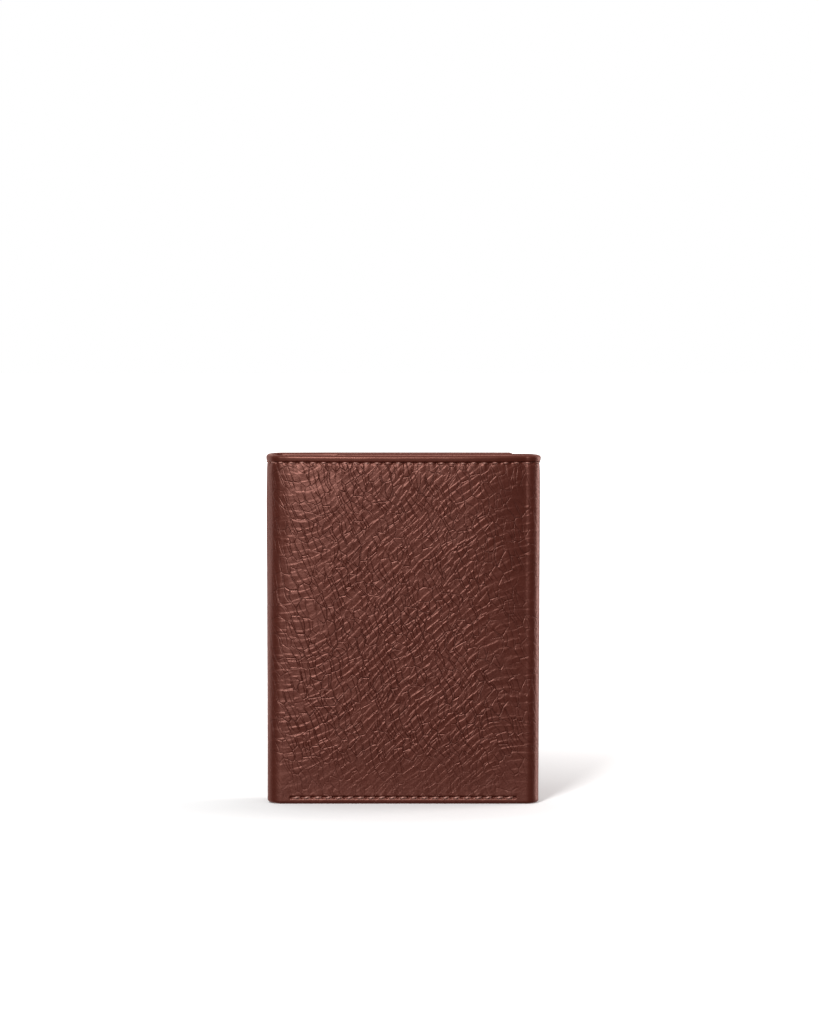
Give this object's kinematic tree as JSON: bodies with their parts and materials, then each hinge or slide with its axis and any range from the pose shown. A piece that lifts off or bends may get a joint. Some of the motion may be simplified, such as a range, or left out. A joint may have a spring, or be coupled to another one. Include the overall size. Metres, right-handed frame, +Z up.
{
  "type": "trifold wallet",
  "caption": "Trifold leather wallet with two folding flaps on narrow spines, a bill compartment, card pockets and a clear window pocket.",
  "frame": {"origin": "under the middle of the closed wallet, on the surface it stands on", "axes": "+Z up along the height, -Y out of the middle panel's outer face, +X towards the inner flap's fold"},
  "size_m": [0.084, 0.0192, 0.108],
  "materials": {
    "outer_leather": "tumbled grain, semi-gloss",
    "inner_leather": "fine smooth grain, satin",
    "lining_fabric": "plain woven, matt",
    "thread": "waxed thread, satin",
    "clear_plastic": "clear film, gloss"
  },
  "bodies": {
    "center": {"center_shell": "outer_leather", "center_lining": "lining_fabric", "center_divider": "inner_leather", "center_top_thread": "thread", "center_bottom_thread": "thread", "id_slip_pocket": "inner_leather", "id_window": "clear_plastic", "id_frame": "inner_leather", "id_frame_thread": "thread", "left_front_fold": "outer_leather", "left_front_fold_lining": "lining_fabric", "left_front_fold_divider": "inner_leather", "right_front_fold": "outer_leather", "right_front_fold_lining": "lining_fabric", "right_front_fold_divider": "inner_leather"},
    "left_spine": {"left_spine_shell": "outer_leather", "left_spine_lining": "lining_fabric", "left_spine_divider": "inner_leather", "left_spine_top_thread": "thread", "left_rear_fold": "outer_leather", "left_rear_fold_lining": "lining_fabric", "left_rear_fold_divider": "inner_leather"},
    "right_spine": {"right_spine_shell": "outer_leather", "right_spine_lining": "lining_fabric", "right_spine_divider": "inner_leather", "right_spine_top_thread": "thread", "right_rear_fold": "outer_leather", "right_rear_fold_lining": "lining_fabric", "right_rear_fold_divider": "inner_leather"},
    "outer_flap": {"outer_flap_shell": "outer_leather", "outer_flap_lining": "lining_fabric", "outer_flap_divider": "inner_leather", "outer_flap_pocket_upper": "inner_leather", "outer_flap_pocket_middle": "inner_leather", "outer_flap_pocket_lower": "inner_leather", "outer_flap_top_thread": "thread", "outer_flap_bottom_thread": "thread", "outer_flap_side_thread": "thread"},
    "inner_flap": {"inner_flap_shell": "outer_leather", "inner_flap_lining": "lining_fabric", "inner_flap_divider": "inner_leather", "inner_flap_pocket_upper": "inner_leather", "inner_flap_pocket_middle": "inner_leather", "inner_flap_pocket_lower": "inner_leather", "inner_flap_top_thread": "thread", "inner_flap_bottom_thread": "thread", "inner_flap_side_thread": "thread"}
  },
  "joints": [
    {"name": "left_front_hinge", "type": "hinge", "parent": "center", "child": "left_spine", "pos_m": [-0.04056, -0.00816, 0.054], "axis": [0, 0, 1], "range_deg": [0, 90], "deforming": ["left_front_fold", "left_front_fold_lining", "left_front_fold_divider"]},
    {"name": "left_rear_hinge", "type": "hinge", "parent": "left_spine", "child": "outer_flap", "pos_m": [-0.04056, 0.00816, 0.054], "axis": [0, 0, 1], "range_deg": [0, 90], "deforming": ["left_rear_fold", "left_rear_fold_lining", "left_rear_fold_divider"]},
    {"name": "right_front_hinge", "type": "hinge", "parent": "center", "child": "right_spine", "pos_m": [0.04067, -0.00827, 0.054], "axis": [0, 0, -1], "range_deg": [0, 90], "deforming": ["right_front_fold", "right_front_fold_lining", "right_front_fold_divider"]},
    {"name": "right_rear_hinge", "type": "hinge", "parent": "right_spine", "child": "inner_flap", "pos_m": [0.04067, 0.00007, 0.054], "axis": [0, 0, -1], "range_deg": [0, 90], "deforming": ["right_rear_fold", "right_rear_fold_lining", "right_rear_fold_divider"]}
  ],
  "couplings": [
    {"joint": "left_rear_hinge", "follows": "left_front_hinge", "ratio": 1},
    {"joint": "right_front_hinge", "follows": "left_front_hinge", "ratio": 0.5},
    {"joint": "right_rear_hinge", "follows": "left_front_hinge", "ratio": 0.5}
  ]
}
